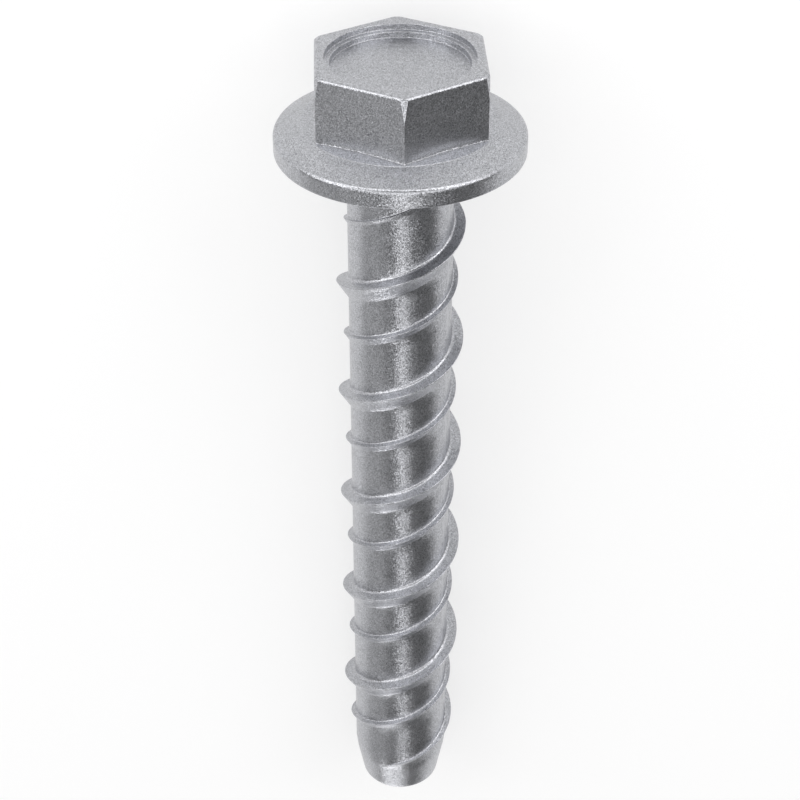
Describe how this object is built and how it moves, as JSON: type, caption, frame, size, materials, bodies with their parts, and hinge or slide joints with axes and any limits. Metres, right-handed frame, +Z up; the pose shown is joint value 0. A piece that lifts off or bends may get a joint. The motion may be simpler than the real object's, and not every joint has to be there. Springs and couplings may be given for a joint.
{
  "type": "concrete screw",
  "caption": "Self-tapping concrete screw with a flanged hex head, a shallow stepped recess in its top, a high and low twin-start thread and a blunt tapered tip.",
  "frame": {"origin": "centre of the bounding box's bottom, on the floor that the screw lies on", "axes": "+Z up from the floor, +Y along the screw towards its head, +X across it"},
  "size_m": [0.0226, 0.087, 0.0227],
  "materials": {
    "screw_body": "matt grainy zinc-flake coating on hardened steel"
  },
  "bodies": {
    "root": {"concrete_screw": "screw_body"}
  },
  "joints": []
}
